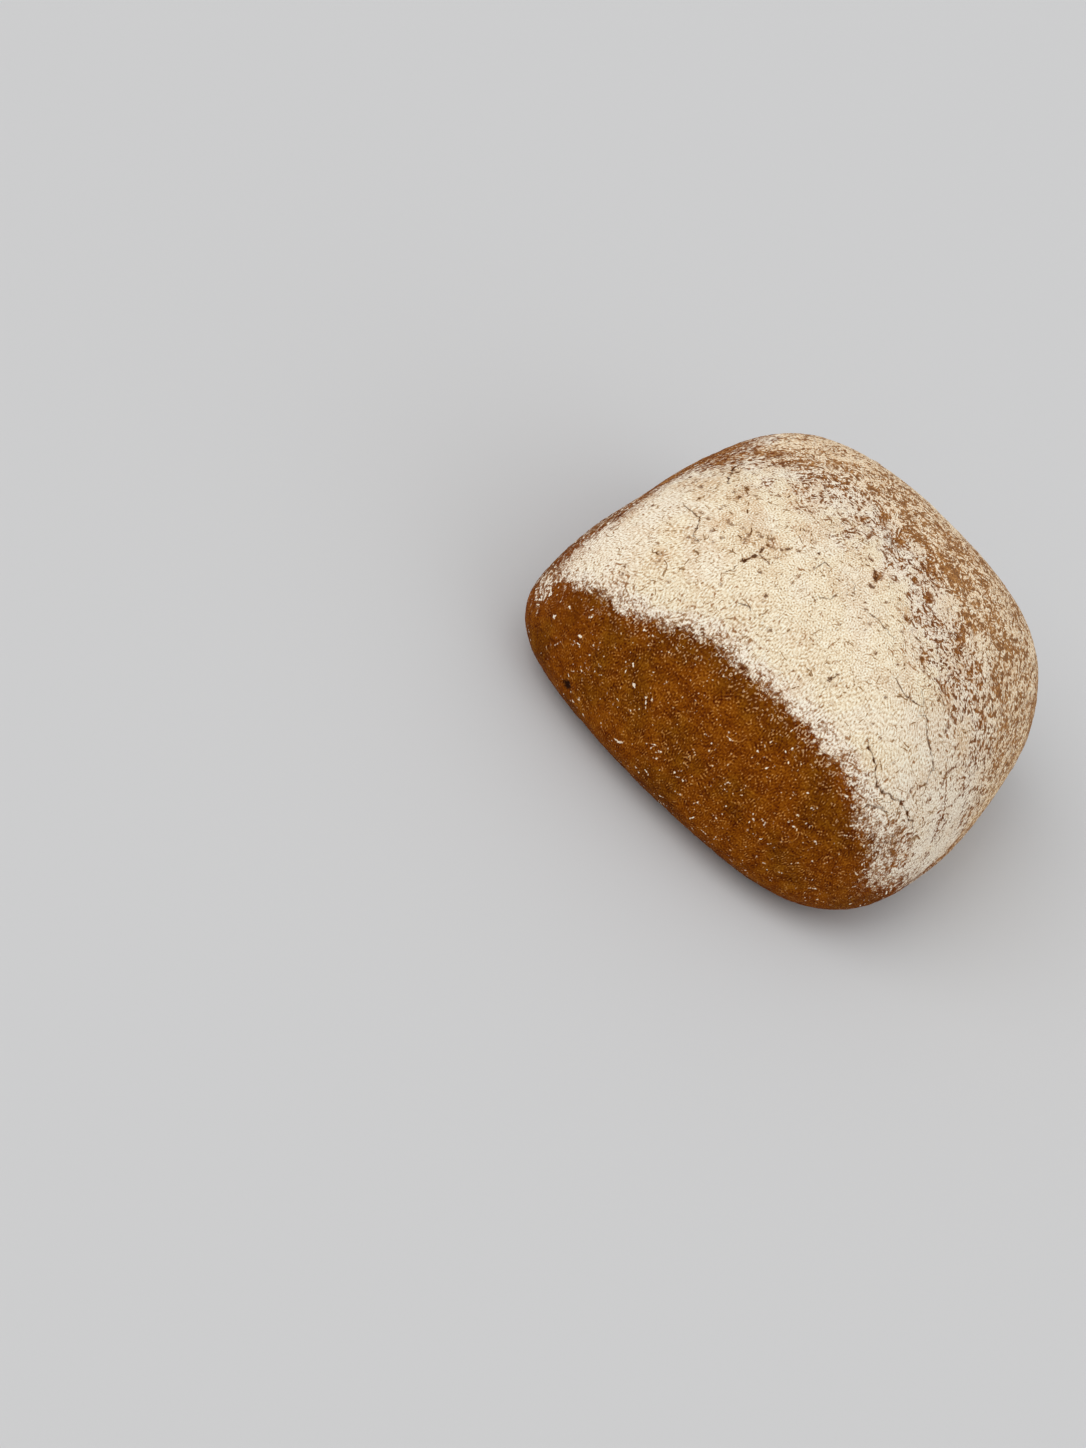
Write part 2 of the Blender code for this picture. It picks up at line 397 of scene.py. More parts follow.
# Patches on the top: x, y, radius in mm, and how much more (or less) flour lies there
PATCHES = (
    # whiter
    (25.4, 4.4, 2.5, 2.0),
    (16.2, -2.0, 2.6, 1.7),
    (16.8, 3.2, 1.5, 1.4),
    (26.2, 8.6, 1.1, 1.3),
    (18.0, 6.2, 1.0, 1.1),
    (21.2, -3.6, 1.2, 0.9),
    (-27.5, -1.8, 3.6, 0.9),
    (-36.0, -4.0, 3.0, 0.7),
    (-14.0, -3.0, 3.6, 0.8),
    (-11.2, -1.0, 1.8, 0.8),
    (-9.0, 5.0, 1.6, 1.0),
    (-8.6, 8.8, 2.0, 1.0),
    (-5.4, 10.2, 1.3, 0.9),
    (-24.0, 10.6, 1.9, 1.5),
    (-31.5, 11.8, 2.6, 1.1),
    (-30.0, 14.6, 3.0, 0.8),
    (-21.0, 16.0, 3.5, 0.8),
    (-20.0, 8.0, 2.4, 0.4),
    (3.6, 5.0, 1.4, 1.3),
    (4.0, 11.4, 2.0, 0.7),
    (-2.4, 3.2, 1.2, 0.9),
    (20.0, 20.0, 4.0, 0.6),
    (29.0, 9.0, 1.8, 0.4),
    (31.0, 2.0, 1.2, 0.8),
    (28.0, -4.5, 1.6, 0.6),
    (38.0, -22.0, 4.0, 0.3),
    (36.5, 12.0, 2.0, 0.5),
    # barer
    (-38.5, 7.0, 5.0, -1.0),
    (-36.5, 1.2, 2.8, -1.3),
    (-33.6, 6.6, 2.0, -1.1),
    (-30.4, 7.6, 1.8, -1.4),
    (-27.0, 3.4, 1.4, -1.3),
    (-24.4, 5.6, 1.2, -1.2),
    (-20.2, 11.6, 1.7, -1.6),
    (-24.4, 12.9, 1.2, -1.3),
    (-18.2, 3.0, 1.3, -1.1),
    (-19.2, -0.2, 0.8, -1.4),
    (-11.0, 9.8, 1.6, -1.5),
    (-5.6, 6.4, 1.3, -1.1),
    (1.0, 2.0, 1.9, -1.6),
    (0.6, 5.4, 1.4, -1.2),
    (3.4, 8.2, 2.2, -1.5),
    (8.0, 2.4, 1.8, -1.2),
    (7.4, -0.4, 0.7, -1.2),
    (11.2, 7.8, 2.2, -2.2),
    (15.6, 8.6, 1.9, -1.5),
    (1.5, -5.0, 1.2, -0.6),
    (5.0, 15.0, 5.0, -0.8),
    (-4.0, 14.5, 3.6, -0.8),
    (12.6, -3.0, 1.5, -1.2),
    (8.8, -3.3, 1.0, -1.0),
    (21.6, 4.4, 2.0, -1.6),
    (24.2, 9.2, 2.2, -1.8),
    (27.0, 11.4, 1.8, -1.4),
    (28.6, 14.0, 2.2, -1.6),
    (22.0, 16.0, 3.5, -0.5),
    (16.0, 14.0, 3.0, -0.4),
    (20.4, 0.8, 1.2, -1.3),
    (22.4, -0.6, 1.2, -1.3),
    (32.6, 5.2, 2.0, -1.6),
    (30.2, -1.0, 1.3, -1.3),
    (23.5, -5.0, 1.6, -0.7),
    (18.0, -7.6, 1.4, -0.5),
    (31.6, -12.3, 1.5, -1.4),
    (27.6, -12.0, 1.2, -1.4),
    (33.0, -14.4, 0.9, -1.4),
    (39.0, 6.0, 3.0, -0.7),
    (3.4, -9.9, 1.0, -2.6),
    (4.5, -12.6, 0.6, -2.2),
    (13.4, -11.6, 0.6, -2.2),
    (20.8, -14.1, 0.8, -2.4),
    (-26.0, -13.0, 1.8, -1.2),
    (-14.0, -20.2, 1.4, -1.7),
    (-18.6, -22.0, 1.6, -1.0),
    (-14.8, -24.6, 1.3, -1.2),
    (-23.0, -20.8, 1.4, -0.9),
    (-27.2, -32.2, 1.5, -0.8),
    (-20.0, -5.6, 1.1, -1.1),
    (-7.4, -1.6, 1.2, -0.9),
    (-18.0, -11.0, 1.4, -0.7),
    (42.4, -17.0, 1.6, -1.6),
    (41.4, -27.4, 1.6, -0.8),
    (38.8, -30.6, 1.4, -0.8),
    (42.4, -28.6, 3.6, -1.1),
    (39.8, -20.4, 0.9, -1.2),
)

# Stained patches, where the flour is tanned by the crust below: x, y, radius in mm
STAINS = (
    (-26.4, -13.4, 2.6),
    (-27.2, -32.2, 2.0),
    (-14.0, -20.4, 2.2),
    (-17.8, -22.0, 2.4),
    (-20.0, -5.6, 1.8),
    (-7.5, -1.5, 1.8),
    (3.5, -10.0, 1.8),
    (21.0, -14.2, 1.4),
    (29.0, -12.0, 3.0),
    (24.0, -6.0, 4.0),
    (36.0, -10.0, 4.0),
    (-34.0, -11.0, 3.0),
    (12.0, -11.0, 2.0),
    (-24.0, -21.0, 2.4),
)

# Where the flour thins out more softly towards the bare side: x, y, radius in mm
HAZES = (
    (-5.6, -34.2, 3.0),
    (15.5, -36.6, 3.6),
    (27.0, -35.6, 4.0),
    (-29.0, -36.5, 2.5),
)

# Small dark spots and dashes in the flour: from x, y to x, y, half width in mm, how dark
SPOTS = (
    (-15.3, -26.2, -15.3, -26.1, 0.42, 1.0),
    (-15.0, -25.7, -14.4, -24.4, 0.24, 0.8),
    (-14.7, -24.7, -14.4, -24.2, 0.36, 0.9),
    (-14.7, -22.3, -14.3, -23.1, 0.26, 0.9),
    (-14.2, -23.7, -11.4, -23.9, 0.17, 0.7),
    (-11.5, -22.2, -11.5, -22.1, 0.30, 0.6),
    (-11.5, -19.7, -11.3, -19.1, 0.30, 0.8),
    (-12.0, -20.3, -12.1, -20.1, 0.24, 0.6),
    (-15.2, -20.0, -14.8, -19.3, 0.26, 0.5),
    (-13.0, -20.9, -14.4, -21.1, 0.26, 0.5),
    (-23.6, -20.7, -23.2, -21.0, 0.36, 0.4),
    (-22.5, -21.1, -22.1, -21.2, 0.34, 0.4),
    (-20.4, -20.8, -20.0, -20.8, 0.30, 0.4),
    (-18.6, -21.4, -18.2, -21.8, 0.28, 0.5),
    (-18.4, -22.7, -17.8, -22.3, 0.22, 0.5),
    (-18.0, -23.4, -17.4, -22.9, 0.20, 0.5),
    (-17.2, -20.5, -16.4, -20.4, 0.26, 0.5),
    (-26.2, -14.2, -26.1, -14.0, 0.38, 0.8),
    (-24.4, -12.2, -23.8, -12.3, 0.30, 0.5),
    (-27.6, -13.2, -27.7, -12.8, 0.28, 0.5),
    (-33.9, -12.4, -33.4, -13.4, 0.30, 0.7),
    (-26.9, -17.5, -26.5, -17.6, 0.24, 0.5),
    (-26.8, -18.6, -26.7, -18.5, 0.28, 0.6),
    (-27.0, -21.8, -26.6, -21.9, 0.26, 0.5),
    (-28.8, -20.8, -28.4, -21.1, 0.28, 0.5),
    (-26.7, -24.7, -26.7, -24.6, 0.26, 0.7),
    (-37.6, -20.2, -37.2, -20.8, 0.20, 0.8),
    (-24.2, -24.2, -24.0, -24.1, 0.36, 0.4),
    (-21.6, -24.7, -21.5, -24.5, 0.30, 0.4),
    (-22.4, -26.0, -22.0, -26.2, 0.24, 0.3),
    (-26.6, -27.1, -25.8, -27.1, 0.22, 0.6),
    (-25.0, -27.2, -24.4, -26.9, 0.18, 0.4),
    (-29.9, -30.1, -29.7, -30.3, 0.24, 0.5),
    (-27.8, -31.4, -27.5, -31.9, 0.22, 0.4),
    (-27.0, -32.6, -26.8, -33.2, 0.26, 0.4),
    (-31.2, -35.1, -31.1, -35.3, 0.24, 0.7),
    (-30.4, -36.3, -30.3, -36.5, 0.20, 0.6),
    (-23.0, -34.9, -22.5, -35.1, 0.18, 0.5),
    (-15.0, -31.6, -14.7, -31.7, 0.22, 0.4),
    (-7.0, -15.6, -6.9, -15.6, 0.30, 0.9),
    (-6.5, -16.9, -6.3, -17.0, 0.24, 0.6),
    (-9.9, -18.1, -9.6, -18.1, 0.24, 0.6),
    (-11.8, -13.2, -11.5, -13.1, 0.24, 0.4),
    (-9.2, -14.0, -8.9, -14.1, 0.22, 0.4),
    (-5.4, -18.5, -5.3, -18.8, 0.22, 0.6),
    (3.1, -16.9, 3.3, -16.7, 0.24, 0.6),
    (6.0, -16.5, 6.1, -16.4, 0.22, 0.7),
    (6.9, -17.3, 7.2, -17.3, 0.28, 0.5),
    (9.5, -18.6, 9.6, -19.0, 0.22, 0.6),
    (-6.0, -22.0, -5.9, -22.2, 0.24, 0.5),
    (-5.8, -23.7, -5.7, -23.8, 0.22, 0.7),
    (-0.6, -23.0, -0.5, -23.0, 0.20, 0.6),
    (5.9, -23.1, 5.9, -23.0, 0.22, 0.6),
    (-11.4, -26.2, -11.4, -26.1, 0.30, 0.6),
    (-7.4, -28.6, -7.3, -28.5, 0.24, 0.7),
    (-7.1, -29.3, -7.0, -29.5, 0.18, 0.5),
    (-2.3, -31.9, -2.0, -31.6, 0.22, 0.6),
    (12.4, -28.9, 12.4, -28.8, 0.20, 0.7),
    (11.9, -30.2, 12.3, -29.9, 0.22, 0.8),
    (14.3, -21.9, 14.6, -21.6, 0.24, 0.7),
    (4.2, -12.8, 4.8, -12.5, 0.36, 0.7),
    (13.2, -12.0, 13.6, -11.4, 0.34, 0.6),
    (8.5, -13.0, 8.7, -12.9, 0.26, 0.5),
    (9.9, -20.4, 10.0, -20.3, 0.18, 0.4),
    (18.5, -19.7, 18.7, -19.7, 0.24, 0.8),
    (20.5, -14.3, 20.8, -13.8, 0.36, 0.7),
    (21.2, -14.1, 21.4, -14.6, 0.26, 0.6),
    (22.4, -15.5, 22.8, -15.3, 0.24, 0.6),
    (20.1, -15.4, 20.2, -15.3, 0.24, 0.4),
    (14.4, -14.7, 14.8, -14.5, 0.26, 0.5),
    (21.5, -24.9, 21.6, -24.8, 0.22, 0.6),
    (26.0, -28.9, 26.3, -28.8, 0.22, 0.7),
    (23.3, -29.0, 23.4, -28.8, 0.18, 0.5),
    (30.8, -28.2, 30.9, -28.1, 0.18, 0.4),
    (33.9, -33.2, 34.2, -32.8, 0.24, 0.7),
    (36.4, -25.0, 36.5, -25.5, 0.20, 0.7),
    (36.7, -26.2, 36.8, -26.4, 0.20, 0.7),
    (36.8, -27.8, 37.0, -27.5, 0.28, 0.9),
    (37.1, -23.2, 37.2, -22.8, 0.17, 0.7),
    (38.6, -12.4, 38.4, -15.8, 0.22, 0.7),
    (38.8, -16.2, 39.2, -16.8, 0.22, 0.6),
    (39.8, -20.9, 39.6, -21.2, 0.22, 0.6),
    (32.0, -11.6, 31.6, -12.6, 0.28, 0.6),
    (32.8, -13.6, 33.0, -14.8, 0.30, 0.6),
    (27.2, -12.6, 28.0, -12.2, 0.34, 0.5),
    (28.6, -13.6, 29.6, -13.4, 0.22, 0.5),
    (-31.4, 7.6, -31.0, 6.9, 0.44, 1.0),
    (-30.0, 8.3, -29.6, 7.9, 0.40, 0.7),
    (-33.8, 7.1, -33.2, 6.7, 0.46, 0.7),
    (-20.8, 1.1, -20.5, 0.5, 0.34, 0.8),
    (-9.3, 1.2, -9.1, 0.9, 0.36, 0.9),
    (-14.5, -1.2, -14.4, -0.9, 0.30, 0.6),
    (-14.6, -8.6, -14.3, -8.5, 0.30, 0.7),
    (-21.2, -9.4, -20.8, -9.5, 0.28, 0.5),
    (-27.0, -11.1, -26.2, -11.3, 0.26, 0.6),
    (-11.1, -3.8, -10.3, -4.2, 0.26, 0.8),
    (-9.4, -4.0, -8.4, -4.0, 0.20, 0.6),
    (-3.6, -2.0, -3.5, -4.0, 0.28, 0.7),
    (-3.3, -4.6, -3.0, -5.0, 0.24, 0.6),
    (0.2, -3.8, 1.6, -4.4, 0.28, 0.7),
    (1.8, -4.5, 2.7, -5.0, 0.26, 0.8),
    (0.4, -2.4, 2.0, -2.1, 0.26, 0.7),
    (2.6, -9.4, 3.1, -9.6, 0.34, 0.8),
    (3.5, -9.9, 3.7, -10.6, 0.42, 0.9),
    (4.0, -10.8, 4.2, -11.3, 0.28, 0.7),
    (4.0, -8.8, 4.3, -9.3, 0.22, 0.6),
    (-0.1, -7.9, 0.6, -7.9, 0.26, 0.9),
    (4.8, -7.5, 5.4, -7.5, 0.20, 0.8),
    (6.2, -7.5, 6.8, -7.0, 0.26, 0.9),
    (6.4, -8.2, 6.5, -8.3, 0.24, 0.7),
    (8.0, -3.7, 9.8, -3.1, 0.24, 0.7),
    (12.0, -2.6, 12.4, -2.0, 0.36, 0.8),
    (12.9, -3.6, 13.3, -2.9, 0.38, 0.9),
    (13.2, -4.3, 14.6, -4.6, 0.28, 0.6),
    (10.4, -4.4, 10.6, -5.4, 0.26, 0.6),
    (21.2, -1.0, 23.2, -0.4, 0.30, 0.5),
    (35.1, -2.6, 35.3, -2.2, 0.26, 0.8),
    (15.0, -9.4, 15.6, -9.2, 0.24, 0.7),
    (22.0, -9.2, 22.3, -9.1, 0.22, 0.6),
    (39.5, -29.9, 40.3, -28.1, 0.10, 0.7),
    (39.6, -31.1, 41.1, -28.4, 0.14, 0.8),
    (41.0, -30.0, 42.8, -27.4, 0.13, 0.8),
    (40.5, -27.5, 40.4, -26.9, 0.20, 0.7),
    (38.8, -29.1, 39.8, -28.0, 0.10, 0.6),
    (42.4, -25.4, 43.3, -23.7, 0.16, 0.6),
)

# Hair cracks in the flour, as corner points x, y in mm, with a width and a depth in mm
CRACKS = (
    (((-32.6, -19.9), (-30.8, -20.9), (-29.0, -21.8), (-27.8, -22.5), (-26.8, -24.6), (-25.8, -26.6), (-24.4, -27.2)), 0.13, 0.12),
    (((25.0, -30.7), (26.0, -31.0), (28.2, -31.1), (29.5, -31.2), (30.5, -31.6), (31.8, -31.9), (32.6, -31.4), (33.4, -30.8)), 0.24, 0.35),
    (((36.8, -27.8), (38.0, -26.9), (39.2, -26.3), (40.0, -25.2), (41.2, -24.4)), 0.24, 0.35),
    (((33.4, -30.8), (35.0, -29.6), (36.8, -27.8)), 0.15, 0.20),
    (((28.0, -20.2), (28.6, -19.2), (29.0, -18.9), (29.8, -19.2), (30.4, -19.7), (31.5, -19.9), (33.5, -19.8), (35.9, -19.4), (36.3, -19.0)), 0.18, 0.22),
    (((36.3, -19.0), (36.4, -20.0), (36.8, -21.0), (37.4, -21.4)), 0.20, 0.22),
    (((20.2, -21.8), (22.0, -21.6), (23.5, -21.4), (25.0, -20.8), (26.2, -20.2), (26.6, -19.6)), 0.16, 0.18),
    (((25.0, -17.9), (26.0, -18.0), (26.8, -18.6)), 0.14, 0.15),
    (((11.9, -30.3), (12.5, -29.2)), 0.15, 0.20),
    (((-5.2, -18.6), (-4.8, -17.0), (-4.8, -16.3), (-3.6, -16.2)), 0.15, 0.18),
    (((1.6, -15.0), (2.4, -15.2), (3.3, -16.8)), 0.14, 0.15),
    (((7.6, -17.6), (9.4, -17.0), (12.0, -17.0), (14.0, -17.1)), 0.13, 0.15),
    (((15.4, -12.4), (17.0, -12.7), (18.0, -12.2)), 0.15, 0.15),
    (((-33.4, -2.0), (-32.6, -4.4), (-31.8, -7.0), (-30.2, -10.8)), 0.30, 0.15),
    (((33.0, -34.0), (34.6, -32.2), (36.4, -30.8)), 0.13, 0.15),
    (((-10.2, -32.2), (-8.6, -31.7), (-7.6, -31.6)), 0.13, 0.12),
    (((-15.4, -27.6), (-15.4, -28.8), (-15.9, -29.6)), 0.13, 0.12),
    (((-0.2, -22.0), (1.2, -21.0), (1.4, -19.4)), 0.12, 0.12),
)


def near_line(points, corners):
    """From each point, seen from above, to a line through the corners: the distance in mm with its side as sign, and how far the foot is past the ends."""
    best = np.full(len(points), 1e9)
    signed = np.full(len(points), 1e9)
    past = np.zeros(len(points))
    last = len(corners) - 2
    for k, ((ax, ay), (bx, by)) in enumerate(zip(corners[:-1], corners[1:])):
        dx, dy = bx - ax, by - ay
        length = math.hypot(dx, dy)
        rx, ry = points[:, 0] - ax, points[:, 1] - ay
        t = (rx * dx + ry * dy) / (length * length)
        inside = t.clip(0, 1)
        away = np.hypot(rx - inside * dx, ry - inside * dy)
        across = (dx * ry - dy * rx) / length
        over = np.zeros(len(points))
        if k == 0:
            over = np.maximum(over, -t * length)
        if k == last:
            over = np.maximum(over, (t - 1) * length)
        closer = away < best
        best = np.where(closer, away, best)
        signed = np.where(closer, np.where(across < 0, -away, away), signed)
        past = np.where(closer, over, past)
    return best, signed, past


def probit(share):
    """How far above the middle of a bell curve a share of it ends."""
    p = np.clip(share, 0.002, 0.998)
    q = np.minimum(p, 1 - p)
    size = 5.5556 * (1 - (q / (1 - q)) ** 0.1186)
    return np.where(p < 0.5, -size, size)


def surface_plan(mm, angle, way):
    """What lies where: the flour's level, what it is like, cracks, and the relief in mm."""
    # How far a point is above the line where the flour begins, in mm along the skin
    turn = np.where(angle < LINE[0][0], angle + 360, angle)
    line = np.array(LINE)
    edge = near_line(np.stack([turn * DEGREE, way], 1), [(a * DEGREE, b) for a, b in LINE])[0]
    edge = np.where(way > np.interp(turn, line[:, 0], line[:, 1]), edge, -edge)
    edge = edge + 0.7 * noise(mm / 5.5, 3) + 1.0 * noise(mm / 2.3, 4) + 0.45 * noise(mm / 1.0, 5)

    x, y, z = mm.T
    # Flour lies thick behind the arch and thins out towards the back, sooner at the right end
    back = y + 6.5 * ramp(4.0, 24.0, x) + 2.6 * noise(mm / 10.0, 7)
    share = 0.965 - 0.10 * ramp(-18.0, -7.0, back) - 0.37 * ramp(-9.0, 6.0, back) + 0.07 * ramp(14.0, 26.0, y)
    share += 0.10 * ramp(43.0, 46.0, x) * ramp(10.0, 18.0, z)
    share += 0.12 * ramp(32.0, 38.0, x) * ramp(4.0, -4.0, y) * ramp(-16.0, -10.0, y)
    share -= 0.10 * ramp(36.0, 41.0, x) * ramp(-14.0, -18.0, y)
    share -= 0.12 * ramp(-33.0, -40.0, x) * ramp(-6.0, 3.0, y)
    # Down the back it is no more than a few streaks
    low = ramp(44.0, 24.0, z + 5.0 * noise(mm / 9.0, 30)) * ramp(12.0, 32.0, y)
    share = share + (0.10 - share) * low
    level = probit(share)
    level += 0.9 * ramp(-6.0, -14.0, back) * ramp(3.0, 7.0, edge)
    for px, py, radius, amount in PATCHES:
        away = np.hypot(x - px, y - py) + 0.35 * radius * noise(mm / (radius * 0.6), 11)
        level += amount * np.exp(-((away / radius) ** 2)) * (z > 14)
    loose = ramp(2.4, 0.9, level)
    level *= 1 + 0.12 * loose
    level += (0.75 * noise(mm / 5.4, 12) + 1.1 * noise(mm / 2.4, 13)) * loose
    level += 1.5 * noise(mm / 11.0, 25) * ramp(12.0, 30.0, y)
    # Hardly any place on the top is quite bare
    level = np.where(level < -1.1, -1.1 + (0.4 + 0.5 * low) * (level + 1.1), level)
    level -= 0.9 * ramp(6.0, 0.5, z)
    band = np.interp(turn, *np.array(SHOULDER).T)
    worn = ramp(322.0, 330.0, turn) * ramp(380.0, 352.0, turn) * ramp(band + 2.5, band - 0.5, way + 2.0 * noise(mm / 4.0, 27))
    level += (-1.3 - level) * 0.85 * worn
    # It starts within half a millimetre, then thickens slowly; at both ends of the bare side it fades out over a longer way
    haze = 1.2 * ramp(0.0, 0.45, noise(mm / 6.5, 19))
    for px, py, radius in HAZES:
        haze = np.maximum(haze, 2.0 * np.exp(-(((x - px) ** 2 + (y - py) ** 2) / radius**2)))
    start = np.interp(np.where(edge > 0, edge / (1 + haze), edge), (-4.0, -1.6, 0.0, 0.8, 2.5, 5.0), (-6.0, -2.2, -0.2, 0.7, 1.5, 4.5))
    fade = np.maximum(ramp(300.0, 314.0, turn), ramp(226.0, 218.0, turn))
    level = np.minimum(level, start + (0.5 * edge - start) * fade)
    # Below the line at the left corner a few curls of flour are left
    corner = np.hypot((turn - 220.5) * DEGREE, way - 19.0) + 1.2 * noise(mm / 2.0, 14)
    level = np.maximum(level, -3.2 + 2.7 * ramp(5.5, 2.0, corner))
    around = turn + 7.0 * noise(mm / 6.0, 22)
    rubbed = ramp(184.0, 198.0, around) * ramp(224.0, 212.0, around) * ramp(8.0, 15.0, way + 4.0 * noise(mm / 5.0, 24))
    level = np.maximum(level, -3.2 + 1.9 * rubbed)
    cover = ramp(-1.1, 1.1, level)

    # Thick, creamy flour against a thin, greyer film of it. The thin flour's colour is also made whiter, as painted
    # light for the more brightly lit right end.
    thick = ramp(0.5, 1.6, level) * ramp(0.4, 4.5, edge + 1.2 * noise(mm / 2.4, 15))
    thick *= 1 - 0.8 * ramp(24.0, 36.0, x + 5 * noise(mm / 9.0, 16)) * ramp(-36, -26, y)
    thick *= 1 - 0.75 * ramp(-7.0, 1.0, back)
    thick *= 1 - 0.5 * ramp(-27.0, -37.0, x + 6 * noise(mm / 8.0, 28))
    thick *= 1 - 0.4 * ramp(0.05, 0.5, noise(mm / 8.0, 29))
    # Where the bare crust is paler from the flour rubbed into it
    film = ramp(-14.0, 0.0, back) * ramp(-1.0, 4.0, edge)
    film = np.maximum(film, 0.75 * ramp(30.0, 42.0, x) * ramp(0.0, 4.0, edge))
    film = np.maximum(film, 0.8 * ramp(-33.0, -40.0, x) * ramp(-24.0, -8.0, y) * ramp(16.0, 26.0, z))
    # A paler band of it along the shoulder, from the right corner round to the back. It is partly a golden tint of thin
    # flour and partly painted sheen: the brightening of dusty crust where the skin turns away at the right end.
    gilt_and_sheen = ramp(7.0, 2.0, np.abs(way - band) + 2.5 * noise(mm / 6.0, 18)) * ramp(345.0, 366.0, turn)
    gilt_and_sheen *= 1 - 0.7 * ramp(398.0, 425.0, turn)
    gilt_and_sheen = np.maximum(gilt_and_sheen, 0.7 * ramp(-2.0, 14.0, back) * ramp(3.0, 6.0, edge))
    # Towards the back the strokes give way to a softer dusting
    mellow = ramp(14.0, 32.0, y) * ramp(47.0, 38.0, z)
    # On the bare side the dusting is thinner towards the left and the foot
    dusty = (0.12 + 0.88 * ramp(-38.0, -16.0, x)) * (0.35 + 0.65 * ramp(4.0, 17.0, z))
    fringe = ramp(-8.0, -0.8, edge + 1.3 * noise(mm / 3.0, 17)) * ramp(1.2, 0.2, edge)
    brink = ramp(4.5, 1.5, edge) * ramp(-3.0, -1.0, edge)

    # Broad and middling unevenness of the whole skin
    relief = 0.20 * layered(mm / 13.0, 21, 2) + 0.09 * layered(mm / 4.2, 23, 2)
    # Crust: low blisters and a fine, dry grain
    first, second, mark = pebbles(mm / 1.9, 31)
    blister = ramp(0.75, 0.15, first) * (mark > 0.35)
    relief += (1 - cover) * (0.05 * blister + 0.035 * noise(mm / 0.85, 33) + 0.02 * noise(mm / 0.45, 34))
    # Flour: its thickness and its lumps
    lumps = layered(mm / 1.6, 41, 2)
    relief += 0.14 * cover + 0.16 * thick + (0.05 * lumps + 0.03 * noise(mm / 0.7, 42)) * cover
    bend = np.stack([noise(mm / 3.1, 51), noise(mm / 3.1, 52), noise(mm / 3.1, 53)], 1)
    first, second, _ = pebbles((mm + 1.1 * bend) / 4.6, 54)
    gap = (second - first) * 4.6
    some = ramp(0.0, 0.35, noise(mm / 7.5, 55))
    relief -= 0.08 * ramp(0.55, 0.05, gap) * some * ramp(0.55, 0.9, cover)

    # The larger cracks: which side of the line a point is on, and how wide the crack is there
    crack = np.full(len(mm), 2.0)
    width = np.zeros(len(mm))
    wander = mm + 0.28 * np.stack([noise(mm / 1.1, 61), noise(mm / 1.1, 62), np.zeros(len(mm))], 1)
    nearest = np.full(len(mm), 9.0)
    for corners, wide, depth in CRACKS:
        away, signed, past = near_line(wander, corners)
        here = (away < nearest) & (away < 1.3) & (z > 14)
        wide_here = wide * ramp(0.5, -0.1, past) * (0.35 + 0.85 * ramp(-0.35, 0.45, noise(mm / 1.2, 63)))
        nearest = np.where(here, away, nearest)
        crack = np.where(here, signed, crack)
        width = np.where(here, wide_here * ramp(1.2, 0.9, away), width)
        groove = ramp(wide * 0.5 + 0.35, 0.0, away) * ramp(0.6, -0.2, past) * (z > 14)
        relief -= 0.6 * depth * groove
        relief += 0.06 * ramp(1.3, 0.5, away) * ramp(0.25, 0.5, away) * (z > 14)
    # Spots and dashes: how far outside the nearest one a point is, and how dark that one is
    spot = np.full(len(mm), 2.0)
    soot = np.zeros(len(mm))
    frayed = mm + 0.16 * np.stack([noise(mm / 0.6, 65), noise(mm / 0.6, 66), np.zeros(len(mm))], 1)
    for ax, ay, bx, by, size, tone in SPOTS:
        near = np.nonzero((np.abs(x - (ax + bx) / 2) < 4.5) & (np.abs(y - (ay + by) / 2) < 4.5) & (z > 14))[0]
        away = near_line(frayed[near], ((ax, ay), (bx, by)))[0] - size
        closer = away < spot[near]
        spot[near] = np.where(closer, away, spot[near])
        soot[near] = np.where(closer, tone, soot[near])
    relief -= 0.22 * soot * ramp(0.35, -0.25, spot)
    stain = np.zeros(len(mm))
    for px, py, radius in STAINS:
        away = np.hypot(x - px, y - py) + 0.5 * radius * noise(mm / (radius * 0.7), 67)
        stain = np.maximum(stain, np.exp(-((away / radius) ** 2)) * (z > 14))
    stain = np.maximum(stain, (0.35 + 0.3 * ramp(-2.0, -12.0, x) * ramp(-30.0, -22.0, y)) * ramp(-0.1, 0.45, noise(mm / 5.0, 68)))
    # Pits: small round holes
    first, _, mark = pebbles(mm / 2.6, 71)
    relief -= 0.12 * ramp(0.16, 0.05, first) * (mark > 0.62)
    # One small hole low on the bare side: a real dent in the relief, and its near-black colour in the material is
    # painted shade inside the hole
    pore_and_shade = np.hypot(x + 24.6, z - 9.3) + 0.3 * noise(mm / 0.8, 73)
    pore_and_shade = ramp(1.2, 0.7, pore_and_shade) * (y < -30)
    relief -= 0.4 * pore_and_shade
    marks = {"level": level, "thick": thick, "film": film, "gilt_and_sheen": gilt_and_sheen, "fringe": fringe, "brink": brink, "mellow": mellow, "dusty": dusty, "crack": crack, "width": width, "spot": spot, "soot": soot, "stain": stain, "pore_and_shade": pore_and_shade}
    return marks, cover, edge, relief


def rolled_out(cube, way):
    """The skin laid out flat from the crown, in mm, for patterns that follow it."""
    x, y, _ = cube.T
    x = np.where(np.hypot(x, y) < 1e-7, 1e-7, x)
    radius = np.hypot(x, y)
    dx, dy = x / radius, y / radius
    plan = (np.abs(dx) ** 3.2 + np.abs(dy) ** 3.2) ** (-1 / 3.2)
    # Drawn closer together over the shoulder, so that patterns are broader there
    out = np.interp(88.6 - way, (0.0, 34.0, 50.0, 89.0), (0.0, 34.0, 42.8, 72.0))
    return np.stack([out * plan * dx, out * plan * dy], 1)


